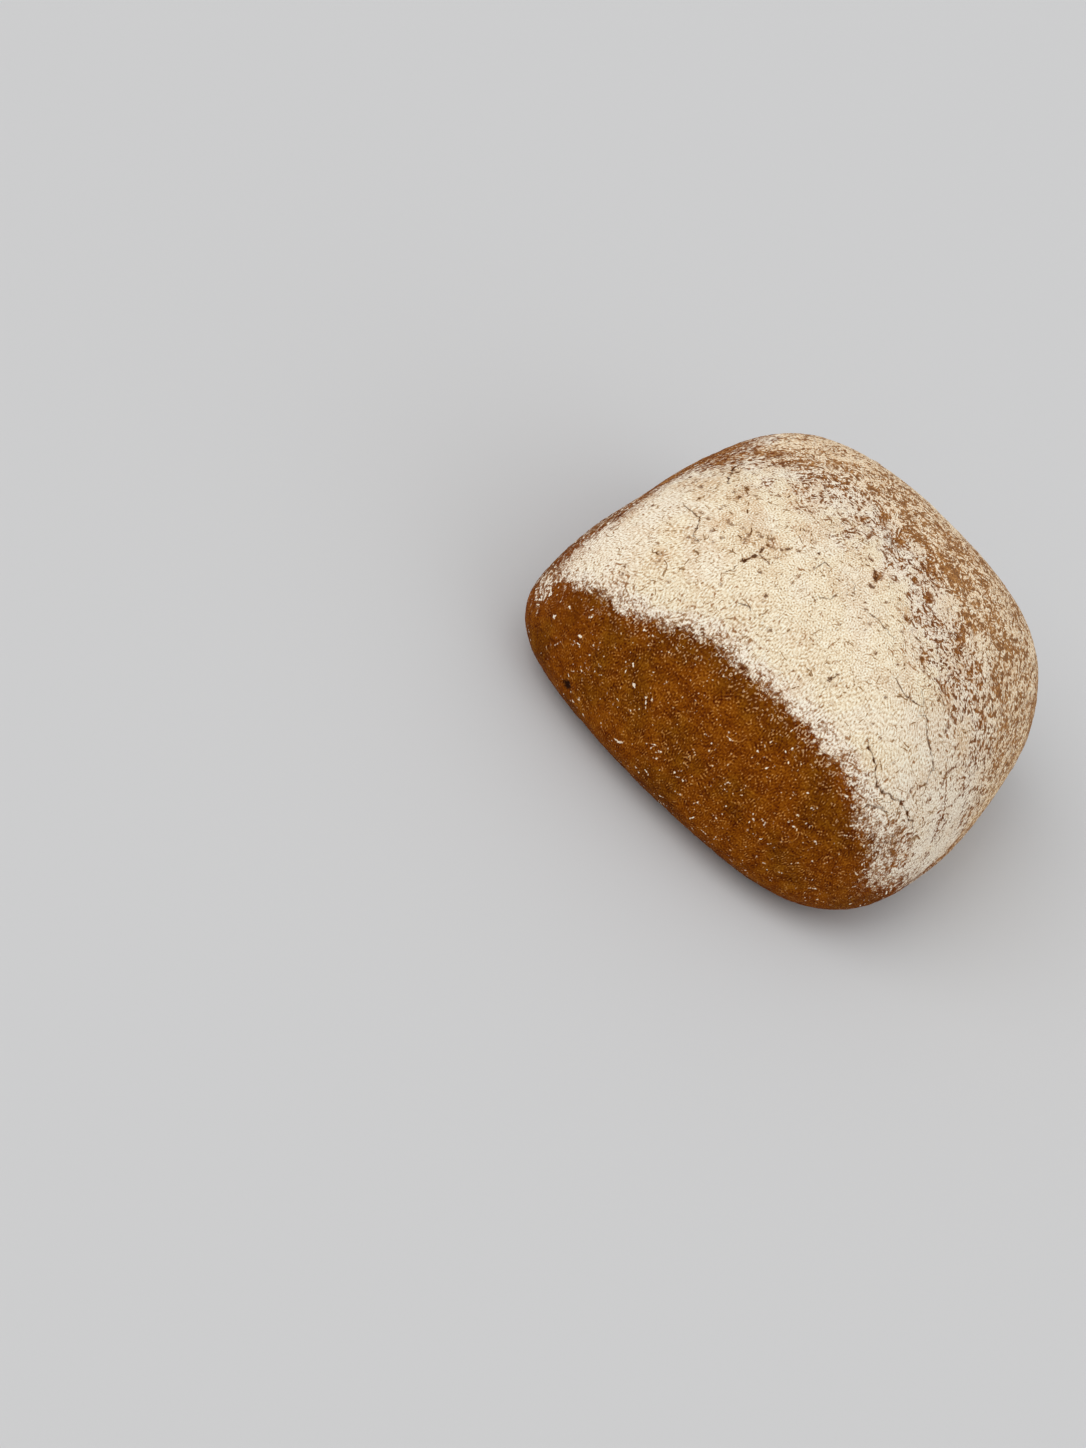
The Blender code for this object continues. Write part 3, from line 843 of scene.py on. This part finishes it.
def build_crust():
    cube, quads, quad_flat, tris, tri_flat = skin_grid()
    places, angle, way = roll_form(cube)
    normal = normals_of(places, quads, tris)
    mm = places * 1000
    marks, cover, edge, relief = surface_plan(mm, angle, way)
    base = ramp(1.6, 0.2, mm[:, 2])
    # The base stays flat; only a shallow unevenness lifts parts of it off the table.
    relief = relief * (1 - base)
    places = places + normal * (relief / 1000)[:, None]
    flat_lift = (0.10 + 0.10 * noise(mm / 6.0, 81) + 0.06 * noise(mm / 2.2, 82)).clip(0.0, 0.4)
    under = way < -0.5
    places[:, 2] = np.where(under, flat_lift / 1000, places[:, 2]).clip(0.0)

    mesh = bpy.data.meshes.new("crust")
    count_q, count_t = len(quads), len(tris)
    mesh.vertices.add(len(places))
    mesh.vertices.foreach_set("co", places.astype(np.float32).ravel())
    mesh.loops.add(4 * count_q + 3 * count_t)
    mesh.polygons.add(count_q + count_t)
    mesh.loops.foreach_set("vertex_index", np.concatenate([quads.ravel(), tris.ravel()]).astype(np.int32))
    starts = np.concatenate([np.arange(count_q) * 4, 4 * count_q + np.arange(count_t) * 3])
    mesh.polygons.foreach_set("loop_start", starts.astype(np.int32))
    mesh.update(calc_edges=True)
    layout = mesh.uv_layers.new(name="OFBake")
    layout.uv.foreach_set("vector", np.concatenate([quad_flat.reshape(-1, 2), tri_flat.reshape(-1, 2)]).astype(np.float32).ravel())
    for name, values in marks.items():
        made = mesh.attributes.new(name, "FLOAT", "POINT")
        made.data.foreach_set("value", values.astype(np.float32))
    flat = rolled_out(cube, way)
    made = mesh.attributes.new("skin", "FLOAT_VECTOR", "POINT")
    made.data.foreach_set("vector", np.column_stack([flat, np.zeros(len(flat))]).astype(np.float32).ravel())
    mesh.shade_smooth()
    mesh.validate()
    obj = bpy.data.objects.new("crust", mesh)
    bpy.context.scene.collection.objects.link(obj)
    return obj, places, normals_of(places, quads, tris), edge, marks


def build_grains(places, normal, edge, marks):
    """Loose grains and flakes of flour that lie on the bare crust."""
    pick = np.random.default_rng(11)
    mm = places * 1000
    x, y, z = mm.T
    clumped = 0.35 + 1.1 * ramp(-0.2, 0.5, noise(mm / 5.0, 91))
    density = 0.058 * clumped
    density += 0.22 * ramp(-4.5, -1.0, edge) * ramp(1.0, -0.5, edge)
    density *= marks["dusty"]
    density *= 0.35 + 0.65 * ramp(24.0, 12.0, x - 0.4 * z)
    density *= ramp(0.9, -0.8, marks["level"]) * (z > 0.6)
    density *= 0.35 + 0.65 * ramp(3.0, -1.0, edge)
    chosen = np.nonzero(pick.random(len(mm)) < density * 0.165)[0]
    bm_verts, bm_faces = [], []
    t = (1 + 5**0.5) / 2
    ball = np.array([(-1, t, 0), (1, t, 0), (-1, -t, 0), (1, -t, 0), (0, -1, t), (0, 1, t), (0, -1, -t), (0, 1, -t), (t, 0, -1), (t, 0, 1), (-t, 0, -1), (-t, 0, 1)], float)
    ball /= np.linalg.norm(ball[0])
    sides = [(0, 11, 5), (0, 5, 1), (0, 1, 7), (0, 7, 10), (0, 10, 11), (1, 5, 9), (5, 11, 4), (11, 10, 2), (10, 7, 6), (7, 1, 8), (3, 9, 4), (3, 4, 2), (3, 2, 6), (3, 6, 8), (3, 8, 9), (4, 9, 5), (2, 4, 11), (6, 2, 10), (8, 6, 7), (9, 8, 1)]
    points, faces, seen = list(ball), [], {}

    def halfway(a, b):
        key = (min(a, b), max(a, b))
        if key not in seen:
            mid = points[a] + points[b]
            seen[key] = len(points)
            points.append(mid / np.linalg.norm(mid))
        return seen[key]

    for a, b, c in sides:
        ab, bc, ca = halfway(a, b), halfway(b, c), halfway(c, a)
        faces += [(a, ab, ca), (b, bc, ab), (c, ca, bc), (ab, bc, ca)]
    ball, faces = np.array(points), np.array(faces)
    for count, k in enumerate(chosen):
        n = normal[k]
        side = np.cross(n, (0.3, 0.2, 1.0) if abs(n[2]) < 0.9 else (1.0, 0.1, 0.0))
        side /= np.linalg.norm(side)
        other = np.cross(n, side)
        turn = pick.uniform(0, math.pi)
        u = side * math.cos(turn) + other * math.sin(turn)
        v = np.cross(n, u)
        size = pick.lognormal(0.0, 0.22) * (0.074 + 0.034 * marks["dusty"][k])
        long = pick.choice([1.0, 1.25, 1.7, 2.8], p=[0.52, 0.30, 0.13, 0.05])
        body = ball * np.array([size * long, size / long**0.35, size * 0.55])
        body = body + pick.normal(0, 0.16 * size, body.shape)
        body[:, 1] += (0.25 * size * (long - 1)) * (body[:, 0] / (size * long)) ** 2
        jitter = pick.uniform(-0.18, 0.18, 2)
        at = mm[k] + u * jitter[0] + v * jitter[1] + n * size * 0.12
        bm_verts.append(at + body[:, :1] * u + body[:, 1:2] * v + body[:, 2:] * n)
        bm_faces.append(faces + count * len(ball))
    verts = np.concatenate(bm_verts) / 1000
    tris = np.concatenate(bm_faces)
    mesh = bpy.data.meshes.new("flour_grains")
    mesh.from_pydata(verts.tolist(), [], tris.tolist())
    mesh.shade_smooth()
    obj = bpy.data.objects.new("flour_grains", mesh)
    bpy.context.scene.collection.objects.link(obj)
    print("grains", len(chosen), "triangles", len(tris))
    return obj


# ================================================================ materials
class Graph:
    """Short hand for a material's nodes."""

    def __init__(self, name):
        self.material = bpy.data.materials.new(name)
        self.material.use_nodes = True
        self.tree = self.material.node_tree
        self.tree.nodes.clear()

    def node(self, kind, **settings):
        made = self.tree.nodes.new(kind)
        for key, value in settings.items():
            setattr(made, key, value)
        return made

    def put(self, socket, value):
        if isinstance(value, bpy.types.NodeSocket):
            self.tree.links.new(value, socket)
        else:
            socket.default_value = value

    def math(self, how, a, b=0.5, c=0.5, clamp=False):
        n = self.node("ShaderNodeMath", operation=how, use_clamp=clamp)
        for socket, value in zip(n.inputs, (a, b, c)):
            self.put(socket, value)
        return n.outputs[0]

    def vector(self, how, a, b=(0, 0, 0), scale=None):
        n = self.node("ShaderNodeVectorMath", operation=how)
        self.put(n.inputs[0], a)
        if scale is not None:
            self.put(n.inputs["Scale"], scale)
        elif how != "LENGTH":
            self.put(n.inputs[1], b)
        return n.outputs["Value" if how == "LENGTH" else "Vector"]

    def noise(self, where, scale, detail=2.0, rough=0.5, distort=0.0, colour=False):
        n = self.node("ShaderNodeTexNoise")
        self.put(n.inputs["Vector"], where)
        n.inputs["Scale"].default_value = scale
        n.inputs["Detail"].default_value = detail
        n.inputs["Roughness"].default_value = rough
        n.inputs["Distortion"].default_value = distort
        return n.outputs["Color" if colour else "Fac"]

    def gabor(self, where, scale, waves, aligned, turn):
        n = self.node("ShaderNodeTexGabor", gabor_type="2D")
        self.put(n.inputs["Vector"], where)
        n.inputs["Scale"].default_value = scale
        n.inputs["Frequency"].default_value = waves
        n.inputs["Anisotropy"].default_value = aligned
        self.put(n.inputs[4], turn)
        return n.outputs["Value"]

    def voronoi(self, where, scale, feature, *wanted, flat=False):
        n = self.node("ShaderNodeTexVoronoi", feature=feature, voronoi_dimensions="2D" if flat else "3D")
        self.put(n.inputs["Vector"], where)
        n.inputs["Scale"].default_value = scale
        found = [n.outputs[name] for name in wanted]
        return found[0] if len(found) == 1 else found

    def range(self, value, low, high, to_low=0.0, to_high=1.0, smooth=False):
        n = self.node("ShaderNodeMapRange", interpolation_type="SMOOTHSTEP" if smooth else "LINEAR")
        for socket, v in zip(n.inputs, (value, low, high, to_low, to_high)):
            self.put(socket, v)
        return n.outputs[0]

    def mix(self, factor, a, b, how="MIX"):
        n = self.node("ShaderNodeMix", data_type="RGBA", blend_type=how)
        self.put(n.inputs[0], factor)
        for socket, v in ((n.inputs[6], a), (n.inputs[7], b)):
            self.put(socket, v if isinstance(v, bpy.types.NodeSocket) else (*v, 1.0))
        return n.outputs[2]

    def blend(self, factor, a, b):
        n = self.node("ShaderNodeMix", data_type="FLOAT")
        self.put(n.inputs[0], factor)
        self.put(n.inputs[2], a)
        self.put(n.inputs[3], b)
        return n.outputs[0]

    def attribute(self, name):
        return self.node("ShaderNodeAttribute", attribute_name=name).outputs["Fac"]


def srgb(r, g, b):
    """A colour given as it looks on screen, 0 to 255, as the linear numbers that the shader takes."""
    out = []
    for v in (r, g, b):
        v /= 255
        out.append(v / 12.92 if v <= 0.04045 else ((v + 0.055) / 1.055) ** 2.4)
    return tuple(out)


def crust_material():
    g = Graph("floured_rye_crust")
    mm = g.vector("SCALE", g.node("ShaderNodeTexCoord").outputs["Object"], scale=1000.0)
    skin = g.node("ShaderNodeAttribute", attribute_name="skin").outputs["Vector"]
    level, thick, film, gilt_and_sheen, fringe, brink = (g.attribute(n) for n in ("level", "thick", "film", "gilt_and_sheen", "fringe", "brink"))
    mellow, dusty = g.attribute("mellow"), g.attribute("dusty")
    crack, width, spot, soot, stain, pore_and_shade = (g.attribute(n) for n in ("crack", "width", "spot", "soot", "stain", "pore_and_shade"))

    # Strokes that the flour lies in: waves of about 1 mm in arcs round scattered points, which run round the roll near its shoulder
    eddy = g.voronoi(skin, 0.16, "F1", "Position", flat=True)
    lead = g.range(g.vector("LENGTH", skin), 28.0, 42.0, 0.01, 0.16)
    flow = g.vector("ADD", g.vector("SUBTRACT", skin, eddy), g.vector("SCALE", skin, scale=lead))
    split = g.node("ShaderNodeSeparateXYZ")
    g.put(split.inputs[0], flow)
    turn = g.math("ARCTAN2", split.outputs[1], split.outputs[0])
    sway = g.math("MULTIPLY", g.math("SUBTRACT", g.noise(mm, 0.42, 1.0), 0.5), 6.5)
    strokes = g.gabor(skin, 0.37, 2.0, 0.85, g.math("ADD", turn, sway))
    strokes = g.math("MULTIPLY", g.math("SUBTRACT", strokes, 0.5), 1 / 0.108)
    worm = g.gabor(skin, 0.85, 2.0, 0.0, 0.0)
    worm = g.math("MULTIPLY", g.math("SUBTRACT", worm, 0.5), 1 / 0.108)
    uneven = g.math("MULTIPLY", g.math("SUBTRACT", g.noise(mm, 0.75, 1.0), 0.5), 1 / 0.10)
    patchy = g.math("MULTIPLY", g.math("SUBTRACT", g.noise(mm, 1.6, 1.0), 0.5), 1 / 0.10)
    powder = g.math("MULTIPLY", g.math("SUBTRACT", g.noise(mm, 3.0, 2.0, 0.7), 0.5), 1 / 0.078)
    soft = g.math("MULTIPLY", g.math("SUBTRACT", g.noise(mm, 0.8, 2.0, 0.6), 0.5), 1 / 0.078)
    # In some places the strokes show, in others only a stipple
    gate = g.range(g.noise(mm, 0.30, 1.0), 0.42, 0.56)
    short = g.range(g.noise(mm, 0.85, 1.0), 0.36, 0.64, 0.35, 1.55)
    calm = g.math("MULTIPLY", g.range(brink, 0.0, 1.0, 1.0, 0.25), g.range(mellow, 0.0, 1.0, 1.0, 0.55))
    pattern = g.math("MULTIPLY", g.math("MULTIPLY", strokes, short), g.math("MULTIPLY", g.blend(gate, 0.50, 1.10), calm))
    pattern = g.math("ADD", pattern, g.math("MULTIPLY", worm, g.math("MULTIPLY", g.blend(gate, 0.40, 0.20), g.range(brink, 0.0, 1.0, 1.0, 0.8))))
    pattern = g.math("ADD", pattern, g.math("MULTIPLY", uneven, g.math("MAXIMUM", g.range(film, 0.0, 0.8, 0.42, 0.62), g.math("MULTIPLY", brink, 0.35))))
    pattern = g.math("ADD", pattern, g.math("MULTIPLY", patchy, 0.58))
    pattern = g.math("ADD", pattern, g.math("MULTIPLY", powder, g.math("MAXIMUM", g.range(mellow, 0.0, 1.0, 0.08, 0.38), g.math("MULTIPLY", brink, 0.45))))
    spread = g.math("ADD", g.range(film, 0.0, 0.8, 1.05, 1.02), g.math("MULTIPLY", g.math("MAXIMUM", brink, mellow), 0.5))
    flour = g.range(g.math("ADD", level, pattern), g.math("MULTIPLY", spread, -1.0), spread, smooth=True)
    veil = g.range(g.math("ADD", level, g.math("MULTIPLY", uneven, 0.4)), -1.8, 1.4, 0.0, g.range(film, 0.0, 0.8, 0.62, 0.28))

    # Fine wormy texture of the flour itself
    tone = g.math("ADD", g.math("MULTIPLY", worm, 0.64), g.math("ADD", g.math("MULTIPLY", powder, 0.48), g.math("MULTIPLY", soft, 0.17)))
    tone = g.math("ADD", tone, g.math("MULTIPLY", strokes, 0.14))
    # The pale shoulder band tints the thin flour golden; on the bare crust below it the band is paler, as painted sheen
    cream = g.mix(thick, g.mix(gilt_and_sheen, FLOUR_THIN_AND_LIGHT, FLOUR_GOLD), FLOUR_THICK)
    cream = g.mix(g.math("MULTIPLY", stain, 0.75), cream, FLOUR_STAIN)
    cream = g.mix(g.range(tone, 0.0, -2.0, 0.0, 0.9), cream, FLOUR_SHADE)
    cream = g.mix(g.range(tone, 0.0, 1.6, 0.0, 0.9), cream, FLOUR_LIGHT)

    # Hair cracks between small plates, broken into dashes; and dots
    bend = g.vector("SCALE", g.vector("SUBTRACT", g.noise(mm, 0.35, 1.0, colour=True), (0.5, 0.5, 0.5)), scale=3.0)
    bent = g.vector("ADD", mm, bend)
    plates = g.voronoi(bent, 0.21, "DISTANCE_TO_EDGE", "Distance")
    hair = g.range(plates, 0.010, 0.042, 1.0, 0.0)
    hair = g.math("MULTIPLY", hair, g.range(g.noise(mm, 0.6, 2.0, 0.7), 0.51, 0.59))
    plates = g.voronoi(bent, 0.46, "DISTANCE_TO_EDGE", "Distance")
    craze = g.range(plates, 0.02, 0.075, 1.0, 0.0)
    craze = g.math("MULTIPLY", craze, g.range(g.noise(mm, 0.8, 2.0, 0.7), 0.51, 0.63, 0.0, 0.45))
    dots = g.voronoi(mm, 0.62, "F1", "Distance", "Color")
    keep = g.node("ShaderNodeSeparateColor")
    g.put(keep.inputs[0], dots[1])
    dot = g.math("MULTIPLY", g.range(dots[0], 0.06, 0.13, 1.0, 0.0), g.range(keep.outputs[0], 0.42, 0.50))
    dot = g.math("MULTIPLY", dot, g.math("POWER", keep.outputs[1], 1.5))
    small = g.math("MULTIPLY", g.math("MAXIMUM", g.math("MULTIPLY", hair, 0.75), g.math("MAXIMUM", craze, dot)), g.range(stain, 0.0, 0.7, 0.9, 1.35))
    cream = g.mix(g.range(small, 0.0, 0.6, 0.0, 0.8), cream, FLOUR_TAN)
    cream = g.mix(g.range(small, 0.35, 1.0), cream, FLOUR_MARK)
    line = g.math("ABSOLUTE", g.math("ADD", crack, g.math("MULTIPLY", g.math("SUBTRACT", g.noise(mm, 2.2, 1.0), 0.5), 0.30)))
    inside = g.math("SUBTRACT", g.math("MULTIPLY", width, 0.60), line)
    slit = g.range(inside, -0.05, 0.03)
    verge = g.math("MULTIPLY", g.range(inside, -0.22, -0.03, 0.0, 0.7), g.range(width, 0.05, 0.2))
    ragged = g.math("ADD", spot, g.math("MULTIPLY", g.math("SUBTRACT", g.noise(mm, 2.3, 1.0), 0.5), 0.9))
    smear = g.math("MULTIPLY", g.range(ragged, 0.22, 0.0, 0.0, 0.6), g.range(soot, 0.1, 0.8))
    blot = g.range(ragged, 0.02, -0.12)
    blot = g.math("MULTIPLY", blot, g.range(soot, 0.2, 1.0, 0.45, 1.0))

    # Clusters of small reddish pits where the flour is thin
    pits = g.voronoi(g.vector("ADD", mm, g.vector("SCALE", bend, scale=0.12)), 1.30, "F1", "Distance", "Color")
    kept = g.node("ShaderNodeSeparateColor")
    g.put(kept.inputs[0], pits[1])
    pit = g.math("MULTIPLY", g.range(pits[0], 0.20, 0.36, 1.0, 0.0), g.range(kept.outputs[0], 0.30, 0.45))
    bunch = g.math("ADD", g.noise(mm, 0.20, 2.0, 0.6), g.math("MULTIPLY", film, 0.09))
    pit = g.math("MULTIPLY", pit, g.math("MULTIPLY", g.range(bunch, 0.57, 0.65), film))

    # Bare crust
    mottle = g.math("MULTIPLY", g.math("SUBTRACT", g.noise(mm, 0.38, 3.0, 0.65), 0.5), 1 / 0.075)
    grain = g.math("MULTIPLY", g.math("SUBTRACT", g.noise(mm, 2.1, 3.0, 0.7), 0.5), 1 / 0.07)
    browning = g.math("ADD", g.math("MULTIPLY", mottle, 0.36), g.math("MULTIPLY", grain, g.range(dusty, 0.2, 1.0, 0.28, 0.38)))
    browning = g.math("ADD", browning, g.math("MULTIPLY", worm, g.range(dusty, 0.2, 1.0, 0.32, 0.46)))
    browning = g.math("ADD", browning, g.math("MULTIPLY", strokes, 0.20))
    brown = g.mix(g.range(browning, -1.9, 0.0), CRUST_DARK, CRUST_MID)
    brown = g.mix(g.range(browning, 0.0, 2.1), brown, CRUST_LIGHT)
    olive = g.range(g.noise(mm, 0.10, 2.0), 0.44, 0.62, 0.0, 0.8)
    brown = g.mix(olive, brown, CRUST_OLIVE, "MULTIPLY")
    lines = g.math("ADD", worm, g.math("ADD", g.math("MULTIPLY", soft, 0.7), g.math("MULTIPLY", strokes, 0.5)))
    lines = g.math("ADD", lines, g.math("MULTIPLY", fringe, 0.45))
    lines = g.math("MULTIPLY", g.range(lines, 1.6, 3.0, 0.0, 0.64), g.range(dusty, 0.0, 1.0, 0.25, 1.0))
    # Curls of flour near the line: parts of rings about 1 mm across
    rings = g.voronoi(g.vector("ADD", mm, g.vector("SCALE", bend, scale=0.25)), 0.72, "F1", "Distance", "Color")
    round_ = g.node("ShaderNodeSeparateColor")
    g.put(round_.inputs[0], rings[1])
    curl = g.range(g.math("ABSOLUTE", g.math("SUBTRACT", rings[0], g.range(round_.outputs[1], 0.0, 1.0, 0.18, 0.42))), 0.02, 0.07, 1.0, 0.0)
    curl = g.math("MULTIPLY", curl, g.range(g.math("ADD", round_.outputs[0], g.math("MULTIPLY", fringe, 0.55)), 0.86, 0.96))
    curl = g.math("MULTIPLY", curl, g.range(g.noise(mm, 1.1, 1.0), 0.44, 0.54))
    lines = g.math("MAXIMUM", lines, g.math("MULTIPLY", curl, g.math("MULTIPLY", dusty, g.range(fringe, 0.0, 1.0, 0.35, 1.0))))
    brown = g.mix(lines, brown, g.mix(fringe, CRUST_PALE, FRINGE_PALE))
    browning = g.math("ADD", browning, g.math("MULTIPLY", pattern, 0.45))
    gold = g.mix(g.range(browning, -1.7, 0.0), GOLD_DARK, GOLD_MID)
    gold = g.mix(g.range(browning, 0.0, 1.5), gold, GOLD_LIGHT)
    # Paler gold along the shoulder band: painted sheen
    gold = g.mix(g.math("MULTIPLY", gilt_and_sheen, 0.28), gold, GILT_SHEEN)
    brown = g.mix(film, brown, gold)
    brown = g.mix(g.math("MULTIPLY", fringe, 0.16), brown, FRINGE_BROWN)
    brown = g.mix(veil, brown, g.mix(gilt_and_sheen, VEIL, VEIL_GOLD))

    colour = g.mix(flour, brown, cream)
    colour = g.mix(g.math("MULTIPLY", pit, 0.8), colour, PIT)
    colour = g.mix(g.math("MAXIMUM", verge, smear), colour, BLOT_TAN)
    colour = g.mix(g.math("MULTIPLY", slit, g.range(width, 0.08, 0.26, 0.5, 1.0)), colour, CRACK)
    colour = g.mix(blot, colour, g.mix(soot, BLOT_BROWN, g.mix(film, CRACK, PIT)))
    # The hole's near-black colour is painted shade
    colour = g.mix(pore_and_shade, colour, PORE_SHADE)

    shader = g.node("ShaderNodeBsdfPrincipled")
    g.put(shader.inputs["Base Color"], colour)
    g.put(shader.inputs["Roughness"], g.range(flour, 0.0, 1.0, 0.72, 0.95))
    shader.inputs["Specular IOR Level"].default_value = 0.04

    height = g.math("ADD", g.math("MULTIPLY", g.noise(mm, 1.6, 3.0, 0.65), 0.20), g.math("MULTIPLY", slit, -0.15))
    height = g.math("ADD", height, g.math("ADD", g.math("MULTIPLY", strokes, 0.030), g.math("MULTIPLY", worm, 0.016)))
    bump = g.node("ShaderNodeBump")
    bump.inputs["Strength"].default_value = 0.8
    bump.inputs["Distance"].default_value = 0.001
    g.put(bump.inputs["Height"], height)
    g.put(shader.inputs["Normal"], bump.outputs[0])
    out = g.node("ShaderNodeOutputMaterial")
    g.put(out.inputs[0], shader.outputs[0])
    return g.material


def flour_material(name, light, shade):
    g = Graph(name)
    mm = g.vector("SCALE", g.node("ShaderNodeTexCoord").outputs["Object"], scale=1000.0)
    tone = g.range(g.noise(mm, 0.7, 1.0), 0.46, 0.66)
    shader = g.node("ShaderNodeBsdfPrincipled")
    g.put(shader.inputs["Base Color"], g.mix(tone, shade, light))
    shader.inputs["Roughness"].default_value = 0.95
    shader.inputs["Specular IOR Level"].default_value = 0.2
    out = g.node("ShaderNodeOutputMaterial")
    g.put(out.inputs[0], shader.outputs[0])
    return g.material


CRUST_DARK = srgb(70, 18, 0)
CRUST_MID = srgb(118, 58, 0)
CRUST_LIGHT = srgb(156, 92, 16)
CRUST_OLIVE = (0.80, 0.94, 0.80)
CRUST_PALE = srgb(198, 142, 76)
GOLD_DARK = srgb(84, 34, 2)
GOLD_MID = srgb(138, 80, 22)
GOLD_LIGHT = srgb(184, 132, 72)
# Pale gold of the shoulder band on the crust: painted sheen
GILT_SHEEN = srgb(212, 172, 124)
VEIL = srgb(190, 148, 106)
VEIL_GOLD = srgb(184, 130, 72)
FRINGE_BROWN = srgb(92, 38, 6)
FRINGE_PALE = srgb(222, 190, 152)
FLOUR_THICK = srgb(240, 223, 192)
# Thin flour: its own colour, made whiter than the thick flour partly as painted light for the right end
FLOUR_THIN_AND_LIGHT = srgb(243, 230, 212)
FLOUR_GOLD = srgb(238, 204, 158)
FLOUR_LIGHT = srgb(255, 250, 230)
FLOUR_SHADE = srgb(178, 142, 100)
FLOUR_STAIN = srgb(212, 174, 132)
FLOUR_TAN = srgb(186, 146, 98)
FLOUR_MARK = srgb(90, 54, 24)
BLOT_TAN = srgb(156, 108, 62)
BLOT_BROWN = srgb(128, 82, 42)
PIT = srgb(116, 62, 26)
CRACK = srgb(74, 40, 14)
# Near black for the hole: painted shade
PORE_SHADE = srgb(40, 18, 6)


# ================================================================ studio
def build_studio():
    scene = bpy.context.scene
    scene.view_settings.view_transform = "Standard"
    scene.view_settings.look = "None"
    world = bpy.data.worlds.new("studio")
    scene.world = world
    world.use_nodes = True
    background = world.node_tree.nodes["Background"]
    background.inputs["Color"].default_value = (1.0, 1.0, 1.0, 1.0)
    background.inputs["Strength"].default_value = 0.70

    bpy.ops.mesh.primitive_plane_add(size=6.0, location=(0, 0, 0))
    floor = bpy.context.active_object
    floor.name = "floor"
    g = Graph("studio_floor")
    shader = g.node("ShaderNodeBsdfPrincipled")
    shader.inputs["Base Color"].default_value = (0.605, 0.607, 0.612, 1.0)
    shader.inputs["Roughness"].default_value = 0.9
    shader.inputs["Specular IOR Level"].default_value = 0.1
    out = g.node("ShaderNodeOutputMaterial")
    g.put(out.inputs[0], shader.outputs[0])
    floor.data.materials.append(g.material)

    # The camera stands where the photograph was taken from, in the roll's own frame.
    right = Vector((0.6955, 0.573799, 0.432475))
    up = Vector((-0.69388, 0.380072, 0.611617))
    back = Vector((0.186574, -0.725465, 0.662488))
    eye = bpy.data.cameras.new("camera")
    eye.lens = 70.0
    eye.sensor_width = 36.0
    eye.clip_start = 0.01
    camera = bpy.data.objects.new("camera", eye)
    turn = Matrix((right, up, back)).transposed().to_4x4()
    camera.matrix_world = Matrix.Translation((0.0783, -0.44269, 0.36091)) @ turn
    scene.collection.objects.link(camera)
    scene.camera = camera

    def sun(name, direction, strength, angle, colour=(1, 1, 1)):
        """A soft light from a direction given in the camera's own right, up and back."""
        way = (right * direction[0] + up * direction[1] + back * direction[2]).normalized()
        data = bpy.data.lights.new(name, "SUN")
        data.energy = strength
        data.angle = math.radians(angle)
        data.color = colour
        obj = bpy.data.objects.new(name, data)
        obj.rotation_euler = way.to_track_quat("Z", "Y").to_euler()
        scene.collection.objects.link(obj)

    sun("key", (-0.35, 0.62, 0.75), 1.12, 50)
    sun("fill", (0.85, -0.30, 0.45), 0.38, 70)


# ================================================================ build
crust, places, normal, edge, marks = build_crust()
crust.data.materials.append(crust_material())
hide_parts("bread_roll")
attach(crust, "root")

grains = build_grains(places, normal, edge, marks)
grains.data.materials.append(flour_material("loose_flour", srgb(228, 202, 164), srgb(172, 122, 70)))
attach(grains, "root")

build_studio()

bpy.context.view_layer.update()
